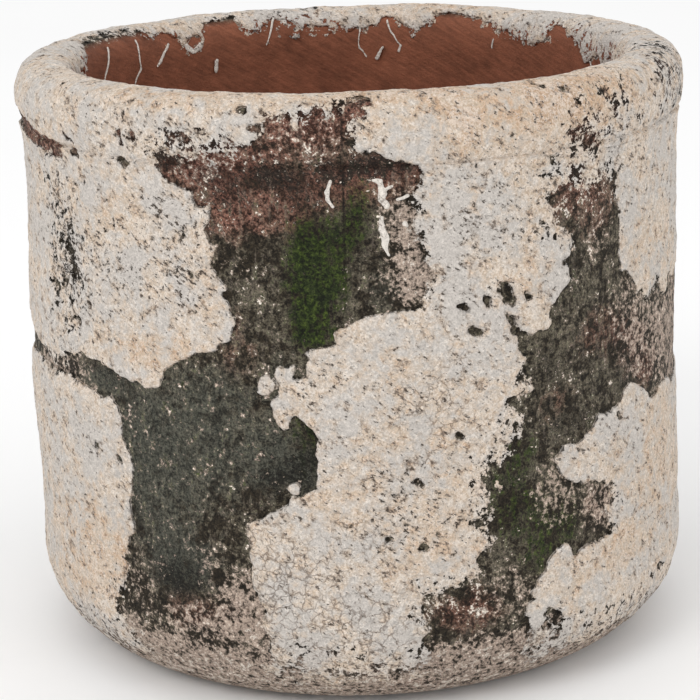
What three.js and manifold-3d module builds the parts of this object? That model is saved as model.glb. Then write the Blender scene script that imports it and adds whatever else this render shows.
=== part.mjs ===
// A hand-pressed terracotta garden pot with a rolled rim and the remains of a lime coat.
// Millimetres, +Z up, origin on the ground at the middle of the foot, seam of the wall facing -Y.
// Angles are degrees round the pot: 0 is the front (-Y), 90 is the right (+X).
import * as THREE from "three";
import { mergeVertices } from "three/addons/utils/BufferGeometryUtils.js";
import Module from "manifold-3d";

const wasm = await Module();
wasm.setup();

// Driving dimensions.
const wallFootRadius = 104.2;    // outside of the wall where the foot rounding ends
const wallTaper = 1.8;           // how much narrower the wall is under the rim
const wallThickness = 14.5;
const neckHeight = 167;          // joint between wall and rim
const neckChamfer = 1.4;         // crease that the rim and wall leave between them
const footRounding = 26.7;       // how far the rounded foot turns in
const footRise = 28.5;           // height of the rounded foot
const footLand = 7.5;            // flat of the wall under the foot, outside the floor disc
const floorThickness = 15;
const drainRadius = 10;
const rimOverhang = 1.6;         // how far the rim roll stands out past the wall
const rimWidth = 18.2;           // rim roll, from inside to outside
const rimRise = 19;              // rim roll, from neck joint to crown
const rimHalfHeight = 10.4;
const rimSquareness = 2.6;       // exponent of the rim's section: 2 is an ellipse
const coatThickness = 1;         // lime coat
const fitGap = 0.3;              // between touching pieces
const seamAngle = -1.5;          // the two wall halves meet here and opposite
const seamGroove = 1.1;          // depth of the groove along the front seam

// Sizes that follow from them.
const wallTopRadius = wallFootRadius - wallTaper;
const footRadius = wallFootRadius - footRounding;
const floorDiscRadius = footRadius - footLand;
const rimRadius = wallTopRadius + rimOverhang;

// Drawing steps.
const segments = 60;             // steps in a full turn
const footSteps = 6;             // steps round the outside of the foot
const cornerSteps = 4;           // steps round the corner inside
const rimArcStart = -45;         // the rim's section is drawn from this angle, in degrees
const rimArcStep = 22.5;
const rimRollSteps = 12;
const rimCoatSteps = 11;         // the coat stops just over the inner edge of the rim
const outlineNeckHeight = 167;   // the coat outlines below are drawn for this neck height

const clayColors = { wall: 0x5a4a40, rim: 0x7a4a38, floor: 0x8a5540 };
const limeColor = 0xcdbfae;

const rad = THREE.MathUtils.degToRad;

// A closed three.js geometry as a solid that can be cut, and back again.
function toSolid(geometry) {
  const bare = geometry.index ? geometry.clone() : geometry;
  bare.deleteAttribute("normal");
  bare.deleteAttribute("uv");
  const merged = mergeVertices(bare, 1e-4);
  return new wasm.Manifold(new wasm.Mesh({
    numProp: 3,
    vertProperties: new Float32Array(merged.attributes.position.array),
    triVerts: new Uint32Array(merged.index.array),
  }));
}

function toGeometry(solid) {
  const mesh = solid.getMesh();
  const geometry = new THREE.BufferGeometry();
  geometry.setAttribute("position", new THREE.BufferAttribute(mesh.vertProperties, 3));
  geometry.setIndex(new THREE.BufferAttribute(mesh.triVerts, 1));
  geometry.computeVertexNormals();
  return geometry;
}

// Turns a closed [radius, height] profile, drawn anticlockwise, about the pot's axis.
function turned(profile) {
  const points = [...profile, profile[0]].map(([r, z]) => new THREE.Vector2(r, z));
  return toSolid(new THREE.LatheGeometry(points, segments).rotateX(Math.PI / 2));
}

// Points of a superellipse arc from one angle to another.
function roundedArc(center, halfWidth, halfHeight, power, from, to, steps) {
  const points = [];
  for (let i = 0; i <= steps; i++) {
    const angle = rad(from + (to - from) * i / steps);
    const c = Math.cos(angle);
    const s = Math.sin(angle);
    points.push([
      center[0] + halfWidth * Math.sign(c) * Math.abs(c) ** (2 / power),
      center[1] + halfHeight * Math.sign(s) * Math.abs(s) ** (2 / power),
    ]);
  }
  return points;
}

// Outside of foot and wall, raised by an offset, from the foot's flat to the given height.
function wallOutside(offset, top) {
  const width = footRounding + offset;
  const foot = roundedArc([footRadius, footRise], width, footRise + offset, 2, -90, 0, footSteps);
  const share = (top - footRise) / (neckHeight - footRise);
  const topRadius = THREE.MathUtils.lerp(wallFootRadius, wallTopRadius, share);
  return [...foot, [topRadius + offset, top]];
}

// Section of the rim roll, raised by an offset, from the crease outside, over the crown and
// down inside by a number of equal steps.
function rimOutside(offset, steps) {
  const center = [rimRadius - rimWidth / 2, neckHeight + rimRise - rimHalfHeight];
  return roundedArc(
    center, rimWidth / 2 + offset, rimHalfHeight + offset, rimSquareness,
    rimArcStart, rimArcStart + rimArcStep * steps, steps);
}

// A wedge that fills the angles between two seams, for cutting a ring into lengths.
function wedge(from, to, clearance) {
  const reach = 2 * rimRadius;
  const shape = new THREE.Shape();
  const middle = rad((from + to) / 2);
  const tip = clearance / 2 / Math.sin(rad(Math.min(to - from, 180) / 2));
  shape.moveTo(tip * Math.sin(middle), -tip * Math.cos(middle));
  const steps = Math.ceil((to - from) / 30);
  for (let i = 0; i <= steps; i++) {
    const angle = rad(from + (to - from) * i / steps);
    shape.lineTo(
      tip * Math.sin(middle) + reach * Math.sin(angle),
      -tip * Math.cos(middle) - reach * Math.cos(angle));
  }
  const height = 2 * (neckHeight + rimRise);
  const geometry = new THREE.ExtrudeGeometry(shape, { depth: height, bevelEnabled: false });
  return toSolid(geometry.translate(0, 0, -height / 4));
}

// A block bounded by an outline of [angle, height] points, running out from the pot's axis.
function radialBlock(outline, inner, outer) {
  const scale = neckHeight / outlineNeckHeight;
  const shape = new THREE.Shape(outline.map(([a, z]) => new THREE.Vector2(a, z * scale)));
  const geometry = new THREE.ExtrudeGeometry(shape, { depth: 1, bevelEnabled: false });
  const position = geometry.attributes.position;
  for (let i = 0; i < position.count; i++) {
    const angle = rad(position.getX(i));
    const height = position.getY(i);
    const radius = THREE.MathUtils.lerp(inner, outer, position.getZ(i));
    position.setXYZ(i, radius * Math.sin(angle), -radius * Math.cos(angle), height);
  }
  return toSolid(geometry);
}

// The straight groove that the luted seam leaves down the front of wall and rim.
function seamBar() {
  const side = seamGroove * Math.SQRT2;
  const bar = new THREE.BoxGeometry(side, side, 2 * neckHeight);
  bar.rotateZ(Math.PI / 4);
  const middleRadius = (wallFootRadius + wallTopRadius) / 2;
  const lean = Math.atan2(wallFootRadius - wallTopRadius, neckHeight - footRise);
  bar.rotateX(-lean);
  bar.translate(0, -middleRadius, (neckHeight + footRise) / 2);
  bar.rotateZ(rad(seamAngle));
  return toSolid(bar);
}

function wallRing() {
  const top = neckHeight - fitGap / 2;
  const innerFoot = wallFootRadius - wallThickness;
  const innerTop = wallTopRadius - wallThickness;
  const innerCorner = roundedArc(
    [footRadius, footRise], innerFoot - footRadius, footRise - floorThickness, 2, 0, -90,
    cornerSteps);
  const bore = floorDiscRadius + fitGap;
  const profile = [
    [bore, 0],
    ...wallOutside(0, top - neckChamfer),
    [wallTopRadius - neckChamfer, top],
    [innerTop, top],
    ...innerCorner,
    [bore, floorThickness],
  ];
  return turned(profile).subtract(seamBar());
}

function wallHalf(from) {
  return wallRing().intersect(wedge(from, from + 180, fitGap));
}

function rimRoll() {
  const seat = neckHeight + fitGap / 2;
  const roll = rimOutside(0, rimRollSteps);
  const outer = roll[0][0] - neckChamfer / 2;
  const inner = roll[roll.length - 1][0];
  return turned([[inner, seat], [outer, seat], ...roll]);
}

function floorDisc() {
  return turned([
    [drainRadius, 0],
    [floorDiscRadius, 0],
    [floorDiscRadius, floorThickness],
    [drainRadius, floorThickness],
  ]);
}

// The whole lime skin over foot and wall, of which the patches are what is left.
function wallCoat() {
  const top = neckHeight - neckChamfer - fitGap - 1;
  const under = wallOutside(fitGap, top);
  const face = wallOutside(fitGap + coatThickness, top);
  return turned([...face.slice(1), ...under.slice(1).reverse()]);
}

function wallPatch(coat, outline) {
  return coat.intersect(radialBlock(outline, wallTopRadius / 2, wallFootRadius * 2));
}

// The lime skin over the rim, from the crease outside to just over the inner edge.
function rimCoat() {
  const face = rimOutside(fitGap + coatThickness, rimCoatSteps);
  const under = rimOutside(fitGap, rimCoatSteps);
  return turned([...face, ...under.reverse()]);
}

function rimPatch(coat, from, to, bare) {
  const length = coat.intersect(wedge(from, to, fitGap * 2));
  return bare.reduce((rest, outline) => {
    return rest.subtract(radialBlock(outline, rimRadius - rimWidth / 3, rimRadius * 2));
  }, length);
}

// What is left of the coat on the wall: [angle, height] corners of each patch.
const wallPatches = {
  coat_left_upper: [
    [-31, 166], [-26, 159], [-24, 153], [-23, 145], [-21, 134], [-19.5, 122], [-22, 114],
    [-30, 109], [-33, 102], [-37, 99], [-47, 103], [-53, 105], [-60, 102], [-70, 104],
    [-80, 106], [-95, 101], [-101, 112], [-98, 128], [-104, 145], [-99, 166],
  ],
  coat_left_lower: [
    [-44, 91], [-42, 84], [-40, 72], [-41, 50], [-44, 38], [-43, 28], [-41, 20], [-60, 18],
    [-80, 20], [-100, 17], [-112, 24], [-116, 45], [-108, 62], [-112, 80], [-100, 94],
    [-88, 90], [-72, 96], [-58, 96], [-52, 94],
  ],
  coat_centre: [
    [-8, 113], [-3, 118], [0, 122], [8, 125.5], [16, 123.5], [23.5, 122.5], [25.5, 114],
    [27.5, 106], [29, 99], [25, 95], [28, 87], [26, 80], [20, 75], [21, 64], [19, 59],
    [20, 50], [18, 45], [11, 42], [9, 34], [7, 20], [-6, 19], [-14, 21], [-17, 31],
    [-16, 37], [-18.5, 45], [-18, 62], [-14, 65], [-10, 71], [-6.5, 73], [-6, 80],
    [-7, 90], [-9.5, 94.5], [-11, 91], [-14, 98], [-12, 102], [-13, 109], [-11, 110],
    [-10, 106],
  ],
  coat_right_upper: [
    [11.5, 166], [9.5, 154], [11, 142], [13, 135], [10.5, 127.5], [16, 126], [24.5, 125],
    [27, 117], [32, 116], [34, 126], [37, 131], [36, 135], [38, 139], [34, 146],
    [34, 155], [32.5, 166],
  ],
  coat_far_right: [
    [50, 166], [49, 155], [50, 127], [54, 123], [56, 118], [60, 115], [66, 117],
    [70, 113], [78, 118], [88, 122], [97, 131], [94, 146], [99, 166],
  ],
  coat_right_lower: [
    [34, 75], [36, 79], [40, 79], [44, 84], [49, 86], [52, 90], [55, 89], [60, 83],
    [72, 84], [80, 80], [92, 84], [104, 78], [109, 62], [103, 46], [107, 30], [98, 20],
    [80, 18], [60, 20], [45, 21], [33, 22], [28, 30], [29, 37], [32, 45], [36, 47],
    [38.5, 44], [47, 47], [45, 62], [40, 65], [37, 68],
  ],
  coat_back_right_upper: [
    [114, 166], [116, 148], [111, 132], [118, 116], [127, 108], [136, 112], [148, 101],
    [157, 108], [155, 126], [161, 141], [156, 166],
  ],
  coat_back_right_lower: [
    [122, 74], [133, 86], [141, 78], [150, 80], [153, 60], [147, 44], [151, 24], [138, 19],
    [124, 21], [120, 40], [125, 58],
  ],
  coat_back_centre: [
    [170, 112], [182, 121], [193, 117], [204, 104], [201, 88], [208, 71], [204, 50],
    [211, 33], [205, 19], [186, 18], [168, 20], [164, 38], [170, 55], [166, 78], [172, 95],
  ],
  coat_back_left_upper: [
    [-121, 166], [-119, 150], [-126, 136], [-123, 120], [-134, 108], [-145, 114],
    [-155, 109], [-161, 124], [-157, 140], [-164, 166],
  ],
  coat_back_left_lower: [
    [-125, 84], [-131, 92], [-141, 87], [-143, 66], [-138, 50], [-142, 34], [-133, 22],
    [-124, 30], [-127, 52], [-121, 68],
  ],
  flake_left: [[-15.6, 107], [-14.2, 107], [-13.8, 101], [-14.8, 98], [-16, 103]],
  flake_centre: [[-11.6, 75], [-9.8, 75], [-9.4, 71.8], [-11.2, 70.6]],
  drip_left: [[-4.2, 163], [-3, 163], [-3, 156], [-3.8, 155], [-4.6, 159]],
  drip_right: [[2.8, 164], [4.6, 163], [6, 157], [4.8, 155], [3.2, 157]],
  drip_middle: [[4.4, 152], [5.6, 152], [6.2, 144], [5.6, 141], [4, 146]],
};

// Lengths of the coat on the rim, each with the outlines where the clay shows through.
const rimPatches = {
  rim_coat_left: {
    from: -96,
    to: -1.5,
    bare: [[[-14, 160], [-15, 176], [-12, 182], [-6, 183], [0, 183], [0, 160]]],
  },
  rim_coat_right: {
    from: -1.5,
    to: 84,
    bare: [[[58, 160], [60, 170], [67, 175], [72, 171], [76, 160]]],
  },
  rim_coat_back_right: {
    from: 84,
    to: 171,
    bare: [[[118, 160], [121, 172], [128, 178], [137, 174], [141, 160]]],
  },
  rim_coat_back_left: {
    from: 171,
    to: 264,
    bare: [[[206, 160], [209, 171], [218, 175], [226, 170], [228, 160]]],
  },
};

function material(color, roughness) {
  return new THREE.MeshStandardMaterial({ color, roughness, metalness: 0 });
}

function named(name, solid, color, roughness) {
  const mesh = new THREE.Mesh(toGeometry(solid), material(color, roughness));
  mesh.name = name;
  return mesh;
}

const pot = new THREE.Group();
pot.add(named("wall_right_half", wallHalf(seamAngle), clayColors.wall, 0.95));
pot.add(named("wall_left_half", wallHalf(seamAngle + 180), clayColors.wall, 0.95));
pot.add(named("rim_roll", rimRoll(), clayColors.rim, 0.9));
pot.add(named("floor_disc", floorDisc(), clayColors.floor, 0.9));

const wallSkin = wallCoat();
for (const [name, outline] of Object.entries(wallPatches)) {
  pot.add(named(name, wallPatch(wallSkin, outline), limeColor, 1));
}

const rimSkin = rimCoat();
for (const [name, { from, to, bare }] of Object.entries(rimPatches)) {
  pot.add(named(name, rimPatch(rimSkin, from, to, bare), limeColor, 1));
}

export default pot;
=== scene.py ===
"""A weathered terracotta pot: clay wall, rolled rim, floor disc and the flaking lime coat over them.

Lengths are millimetres until a mesh is finished. A place on the pot is an angle in degrees (0 at the
front, 90 at the right, 180 at the back) and a run: millimetres along the skin from the flat of the
foot, up the wall, over the rim and down inside.
"""
import itertools
import math

import bmesh
import bpy
import numpy as np
from mathutils import Matrix, Vector


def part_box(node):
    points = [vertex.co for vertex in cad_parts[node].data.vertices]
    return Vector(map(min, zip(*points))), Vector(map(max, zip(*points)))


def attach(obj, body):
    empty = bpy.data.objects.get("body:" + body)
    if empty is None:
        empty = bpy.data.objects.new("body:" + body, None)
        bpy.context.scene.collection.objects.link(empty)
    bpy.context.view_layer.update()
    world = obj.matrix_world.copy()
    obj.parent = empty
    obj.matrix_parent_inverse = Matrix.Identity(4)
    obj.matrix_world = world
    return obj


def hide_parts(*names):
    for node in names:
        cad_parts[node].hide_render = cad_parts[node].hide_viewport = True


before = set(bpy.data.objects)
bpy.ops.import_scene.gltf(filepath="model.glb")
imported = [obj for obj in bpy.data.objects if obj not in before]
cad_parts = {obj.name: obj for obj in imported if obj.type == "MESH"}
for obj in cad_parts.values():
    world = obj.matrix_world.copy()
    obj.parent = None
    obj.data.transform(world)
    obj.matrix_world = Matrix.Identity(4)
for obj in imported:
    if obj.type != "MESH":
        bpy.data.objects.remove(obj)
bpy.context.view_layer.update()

# Sizes that the frame gives.
MM = 0.001
RIM_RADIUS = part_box("rim_roll")[1].x / MM
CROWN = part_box("rim_roll")[1].z / MM
NECK = (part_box("rim_roll")[0].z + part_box("wall_right_half")[1].z) / 2 / MM
FLOOR_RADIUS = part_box("floor_disc")[1].x / MM
FLOOR_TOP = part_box("floor_disc")[1].z / MM
WALL_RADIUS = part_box("wall_right_half")[1].x / MM

# Sizes of the clay that the boxes don't show.
WALL_TAPER = 1.8
WALL_THICKNESS = 14.5
FOOT_TURN = 26.7
FOOT_RISE = 28.5
DRAIN_RADIUS = 10
RIM_WIDTH = 18.2
RIM_HALF_HEIGHT = 10.4
RIM_SQUARENESS = 2.6
CIRCLE = 2                       # the squareness of a round arc
RIM_START, RIM_END = -45, 189    # degrees round the rim's section, from crease to joint
RIM_INSIDE = 22                  # the rim's inner side, from its crown to the joint
JOINT_LEAN = 0.5                 # the rim's inner side draws back towards the wall
SEAM = -1.5                      # degrees: where the wall's halves meet
HAIRLINE = 0.02                  # between pieces that were luted together
COAT = 0.95                      # lime standing above the clay
COAT_KEY = 0.35                  # lime keyed into the clay under it
THIN_COAT = 0.55 * COAT          # the patch at the far right has worn thinner
THINNEST = 0.12                  # no lime stands lower than this
LAP = 2.0                        # how far a patch runs on under its neighbour at the crease
TUCK = 0.4                       # how much lower it lies there
DRIP = 0.55                      # thickness of a run of lime
CREASE_FILL = 1.05               # smoothed into the joint under the rim, at its deepest
CREASE_WIDTH = 3.0

FOOT_RADIUS = WALL_RADIUS - FOOT_TURN
RIM_MIDDLE = (RIM_RADIUS - RIM_WIDTH / 2, CROWN - RIM_HALF_HEIGHT)

CLAY_STEP = 1.0                  # mesh spacings
INSIDE_STEP = 2.0
COAT_STEP = 0.75
DRIP_STEP = 0.3
SHARP = 55                       # degrees: a corner that turns more is not shaded smooth
FAR = 14.0                       # further than this from a patch of coat, its edge has no effect
ARC_CUTS = 8                     # each step of a spin is cut into as many short arcs


# ---- outlines along the skin --------------------------------------------------------------------

def rounded(center, half_width, half_height, power, start, end, steps):
    """Points of a superellipse arc between two angles in degrees."""
    points = []
    for i in range(steps + 1):
        angle = math.radians(start + (end - start) * i / steps)
        c, s = math.cos(angle), math.sin(angle)
        points.append((
            center[0] + half_width * math.copysign(abs(c) ** (2 / power), c),
            center[1] + half_height * math.copysign(abs(s) ** (2 / power), s)))
    return points


def with_run(points, start):
    """Adds the run to each (radius, height) point of a line."""
    line, run = [], start
    for i, point in enumerate(points):
        if i:
            run += math.dist(point, points[i - 1])
        line.append((*point, run))
    return line


def wall_line(top=NECK):
    """The outside of foot and wall."""
    foot = rounded((FOOT_RADIUS, FOOT_RISE), FOOT_TURN, FOOT_RISE, CIRCLE, -90, 0, 16)
    share = (top - FOOT_RISE) / (NECK - FOOT_RISE)
    return [*foot, (WALL_RADIUS - WALL_TAPER * share, top)]


def rim_line():
    """The rim roll from the crease outside, over the crown, to the joint inside."""
    return rounded(RIM_MIDDLE, RIM_WIDTH / 2, RIM_HALF_HEIGHT, RIM_SQUARENESS,
                   RIM_START, RIM_END, 39)


def rim_skin():
    """The rim's line with its run, from the top of the wall round to the joint inside."""
    roll = rim_line()
    joint = (roll[-1][0] + JOINT_LEAN, NECK)
    return with_run([(WALL_RADIUS - WALL_TAPER, NECK), *roll, joint], NECK_RUN)


def whole_skin():
    """Foot, wall and rim as one line."""
    return [*with_run(wall_line(), 0), *rim_skin()[1:]]


# Runs that matter to the making and the weathering.
NECK_RUN = with_run(wall_line(), 0)[-1][2]
INSIDE_RUN = rim_skin()[-1][2]
FOOT_RUN = 44                    # below it the coat has crumbled
LIP_RUN = 220                    # where the coat thins out inside the rim
SEAM_RUN, CROWN_RUN = 148, 204   # the groove of the seam shows between them
COAT_LOW, COAT_HIGH = 8, 228     # the coat's lowest and highest reach
BACK = 100                       # degrees from the front at which the back begins


# ---- noise and painting, worked out at every vertex ---------------------------------------------

def lumps(points, size, seed):
    """Smooth noise from -1 to 1 whose lumps are about `size` mm across."""
    place = points / size + 100
    corner = np.floor(place).astype(np.int64)
    f = place - corner
    f = f * f * f * (f * (f * 6 - 15) + 10)
    total = np.zeros(len(points))
    for step in itertools.product((0, 1), repeat=3):
        x, y, z = (corner + step).T
        mixed = (x * 73856093) ^ (y * 19349663) ^ (z * 83492791) ^ (seed * 40503 + 12345)
        mixed = ((mixed ^ (mixed >> 13)) * 1274126177) & 0x7FFFFFFF
        mixed = ((mixed ^ (mixed >> 15)) * 1103515245) & 0x7FFFFFFF
        weight = np.prod(np.where(step, f, 1 - f), axis=1)
        total += weight * (mixed / 0x3FFFFFFF - 1)
    return total


def rough(points, size, seed, layers=3, fade=0.55):
    """Lumps with smaller lumps on them."""
    total, strength = np.zeros(len(points)), 1.0
    for layer in range(layers):
        total += strength * lumps(points, size / 2.1 ** layer, seed + 17 * layer)
        strength *= fade
    return total


def angle_of(points):
    return np.degrees(np.arctan2(points[:, 0], -points[:, 1]))


def turn_from(angle, middle):
    """Degrees from a middle angle, the short way round."""
    return (angle - middle + 180) % 360 - 180


def across(angle, middle):
    """Millimetres round the skin from a middle angle."""
    return np.radians(turn_from(angle, middle)) * WALL_RADIUS


def dabs(angle, run, brush):
    """Paints soft dabs: each is (angle, run, half width, half height, strength)."""
    bare = np.ones(len(angle))
    for middle, height, half_width, half_height, strength in brush:
        x = across(angle, middle) / half_width
        y = (run - height) / half_height
        bare *= 1 - strength * np.exp(-(x * x + y * y) ** 1.5)
    return 1 - bare


def inside_outline(angle, run, outline):
    """How far inside an outline of (angle, run) corners a place lies; negative outside."""
    angles, runs = zip(*outline)
    middle = (min(angles) + max(angles)) / 2
    reach = math.radians(max(angles) - middle) * WALL_RADIUS + FAR
    near = np.abs(across(angle, middle)) < reach
    near &= (run > min(runs) - FAR) & (run < max(runs) + FAR)
    result = np.full(len(angle), -2.0 * FAR)
    result[near] = inside_corners(angle[near], run[near], outline, middle)
    return result


def inside_corners(angle, run, outline, middle):
    x, y = across(angle, middle), run
    corners = [(math.radians(a - middle) * WALL_RADIUS, r) for a, r in outline]
    nearest = np.full(len(angle), 1e9)
    inside = np.zeros(len(angle), bool)
    for (ax, ay), (bx, by) in zip(corners, corners[1:] + corners[:1]):
        ex, ey = bx - ax, by - ay
        t = np.clip(((x - ax) * ex + (y - ay) * ey) / (ex * ex + ey * ey), 0, 1)
        nearest = np.minimum(nearest, np.hypot(x - ax - t * ex, y - ay - t * ey))
        if ey:
            inside ^= ((ay > y) != (by > y)) & (x < ax + (y - ay) * ex / ey)
    return np.where(inside, nearest, -nearest)


def inside_stroke(angle, run, stroke):
    """The same for a stroke of (angle, run, half width) points."""
    middle = stroke[0][0]
    x, y = across(angle, middle), run
    best = np.full(len(angle), -1e9)
    for (a0, r0, w0), (a1, r1, w1) in zip(stroke, stroke[1:]):
        ax, bx = (math.radians(a - middle) * WALL_RADIUS for a in (a0, a1))
        ex, ey = bx - ax, r1 - r0
        t = np.clip(((x - ax) * ex + (y - r0) * ey) / (ex * ex + ey * ey), 0, 1)
        away = np.hypot(x - ax - t * ex, y - r0 - t * ey)
        best = np.maximum(best, w0 + t * (w1 - w0) - away)
    return best


# ---- the lime coat: outlines of what is left, as (angle, run) corners ---------------------------

COATS = {
    "coat_left_upper": [
        (-33, 192), (-31.5, 180), (-30.5, 177), (-28.5, 175.5), (-26.5, 174), (-25.5, 171),
        (-23.8, 170.5), (-23.5, 167), (-24, 164), (-23.2, 160), (-22.5, 157), (-23, 154),
        (-22, 151), (-21, 147), (-21.5, 145), (-20.3, 142), (-20, 139.5), (-19.3, 138),
        (-20, 135.5), (-20.2, 132), (-21.5, 130), (-23, 128), (-26, 126.5), (-29, 125),
        (-31, 122.5), (-32.5, 119.5), (-34, 115.5), (-36.5, 114.2), (-40, 115),
        (-43.5, 116.5), (-46.5, 118.5), (-50, 119.5), (-52.5, 120), (-54, 118), (-56, 117),
        (-57.5, 118), (-59, 114), (-63, 112.8), (-67, 115), (-72, 118), (-80, 121),
        (-90, 118), (-97, 122), (-101, 130), (-99, 142), (-103, 150), (-100, 162),
        (-104, 172), (-101, 180), (-84, 182), (-70, 180), (-61, 178.5), (-56, 179), (-53, 192)],
    "coat_left_lower": [
        (-56, 111), (-53, 110), (-50.5, 109), (-48.5, 109.2), (-47, 108), (-45, 109),
        (-43.5, 106.5), (-42.3, 103), (-42, 99), (-41.5, 95), (-40.6, 91), (-40.2, 87),
        (-40.4, 83), (-40, 80), (-41.2, 77.5), (-41, 73), (-40.3, 70), (-41, 67), (-42, 64),
        (-43, 60), (-43, 56), (-44.3, 52), (-43.6, 48), (-45, 44), (-44.5, 41), (-43, 37),
        (-41, 28), (-52, 22), (-64, 26), (-80, 22), (-98, 26), (-110, 33), (-115, 50),
        (-113, 62), (-108, 72), (-111, 84), (-109, 96), (-100, 108), (-90, 106),
        (-80, 110), (-70, 112), (-62, 110.5)],
    "coat_centre": [
        (-8, 128.5), (-7.2, 130), (-3.6, 131), (-3, 134.5), (-1.5, 136), (0, 138),
        (2, 139.5), (5, 140), (8, 141), (12, 140.8), (16, 140.5), (19, 140), (22, 139.5),
        (24, 138), (25, 134.5), (26, 131.5), (27, 129), (26.8, 126), (28.3, 121.5),
        (27, 119.5), (29.5, 112), (27.8, 111.5), (25, 110.3), (25.5, 107.5), (27, 106.5),
        (26.5, 103), (28, 100), (27, 97.5), (24.5, 97), (24, 93), (21, 92), (20, 88),
        (21.5, 85), (20.5, 82), (21, 79.5), (19.3, 76), (20.5, 73), (21, 68), (19, 64),
        (19.8, 61), (17.5, 59), (14, 57.5), (12, 55), (10.5, 52), (9, 50.5), (10, 47),
        (11, 44), (9.5, 40), (11, 33), (7, 26), (0, 29), (-5, 25), (-10, 27), (-15, 29),
        (-15.5, 38), (-14.8, 42), (-16.5, 45), (-17, 48), (-15.6, 50.5), (-16.8, 53),
        (-17.3, 56), (-18.5, 59), (-18.2, 64), (-18.6, 70), (-18.3, 75), (-18, 77.5),
        (-16, 78.5), (-14.5, 79.5), (-13.5, 81.5), (-12, 83.5), (-11, 85.5), (-9, 86.3),
        (-7.2, 87), (-6.3, 88), (-6.5, 91), (-6.2, 95), (-6.8, 99), (-6.5, 103),
        (-7.2, 106), (-8.6, 108.5), (-9.6, 110), (-10.5, 109.5), (-11, 107), (-11.7, 106),
        (-12.7, 108.5), (-13.5, 111), (-14, 113.5), (-13.5, 115), (-12.3, 116.5),
        (-12.2, 119.5), (-13.2, 122.5), (-12.6, 124.5), (-11, 125.3), (-9.9, 125.5),
        (-9.6, 123.5), (-10.2, 121.5), (-9.5, 120.5), (-8, 122), (-7.9, 125), (-7.6, 127)],
    "coat_right_upper": [
        (12, 192), (11, 179.5), (10, 177), (9, 173.5), (9.5, 169), (9, 165), (10.5, 161),
        (11.5, 157), (10.5, 154), (13, 150.5), (12, 148), (11.5, 145), (10.5, 139.4),
        (13, 138.4), (16, 138), (19, 137.6), (22, 138.2), (24.6, 137.8), (25.8, 135),
        (27, 131.2), (29, 130), (31.5, 130.5), (33.2, 132), (33, 135), (34, 138),
        (35, 140.5), (37, 144), (36.5, 147), (35, 149), (38, 152.5), (39, 155), (36, 157),
        (34.5, 159), (34, 163), (33, 167), (34, 172), (33, 177), (33, 192)],
    "coat_far_right": [
        (49, 192), (50, 174), (48.5, 166), (50, 160), (50, 150), (50.5, 142), (54, 139),
        (56, 134.5), (59, 130.5), (62, 131.5), (65, 132), (67, 128), (69, 129), (70, 134),
        (75, 131), (82, 134), (90, 138), (98, 146), (95, 160), (101, 170), (99, 192)],
    "coat_right_lower": [
        (33.8, 90), (35, 93), (36, 94.5), (38, 93.5), (40, 94.2), (42, 97.5), (44, 100),
        (47, 99.8), (49.5, 102), (51, 104.5), (53, 105.3), (55, 104.3), (57, 102.5),
        (59, 99), (61, 98), (65, 100), (69, 100.5), (74, 96), (82, 97), (92, 100),
        (104, 94), (109, 78), (104, 62), (108, 46), (99, 28), (84, 23), (70, 27), (58, 23),
        (46, 27), (36, 25), (28, 30), (28, 38), (28.3, 43), (27.8, 46), (29.5, 48.5),
        (29, 51), (30, 54), (31, 55), (32, 59), (33, 61.5), (34, 62), (35.5, 63.3),
        (37, 60.5), (38, 58.3), (39.5, 59.5), (42, 60), (46, 61), (48, 63), (47, 67),
        (46.5, 71), (47, 76), (45, 79), (42, 80.3), (40, 79.5), (38, 80.5), (36.5, 84),
        (34.8, 87)],
    "coat_back_right_upper": [
        (114, 192), (116, 164), (111, 148), (118, 132), (127, 124), (136, 128), (148, 117),
        (157, 124), (155, 142), (161, 157), (156, 192)],
    "coat_back_right_lower": [
        (122, 90), (133, 102), (141, 94), (150, 96), (153, 76), (147, 60), (151, 40),
        (138, 33), (124, 36), (120, 56), (125, 74)],
    "coat_back_centre": [
        (170, 128), (182, 137), (193, 133), (204, 120), (201, 104), (208, 87), (204, 66),
        (211, 49), (205, 35), (186, 32), (168, 35), (164, 54), (170, 71), (166, 94),
        (172, 111)],
    "coat_back_left_upper": [
        (-121, 192), (-119, 166), (-126, 152), (-123, 136), (-134, 124), (-145, 130),
        (-155, 125), (-161, 140), (-157, 156), (-164, 192)],
    "coat_back_left_lower": [
        (-125, 100), (-131, 108), (-141, 103), (-143, 82), (-138, 66), (-142, 50),
        (-133, 36), (-124, 46), (-127, 68), (-121, 84)],
    "flake_left": [
        (-15.9, 119), (-15.2, 122), (-14.2, 122), (-13.3, 119.5), (-13.8, 117.5),
        (-14.3, 115.3), (-15.6, 117)],
    "flake_centre": [
        (-11.9, 88.5), (-11.1, 90), (-10, 90.4), (-9.3, 88.8), (-9.4, 87), (-10.8, 86.6)],
}

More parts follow.
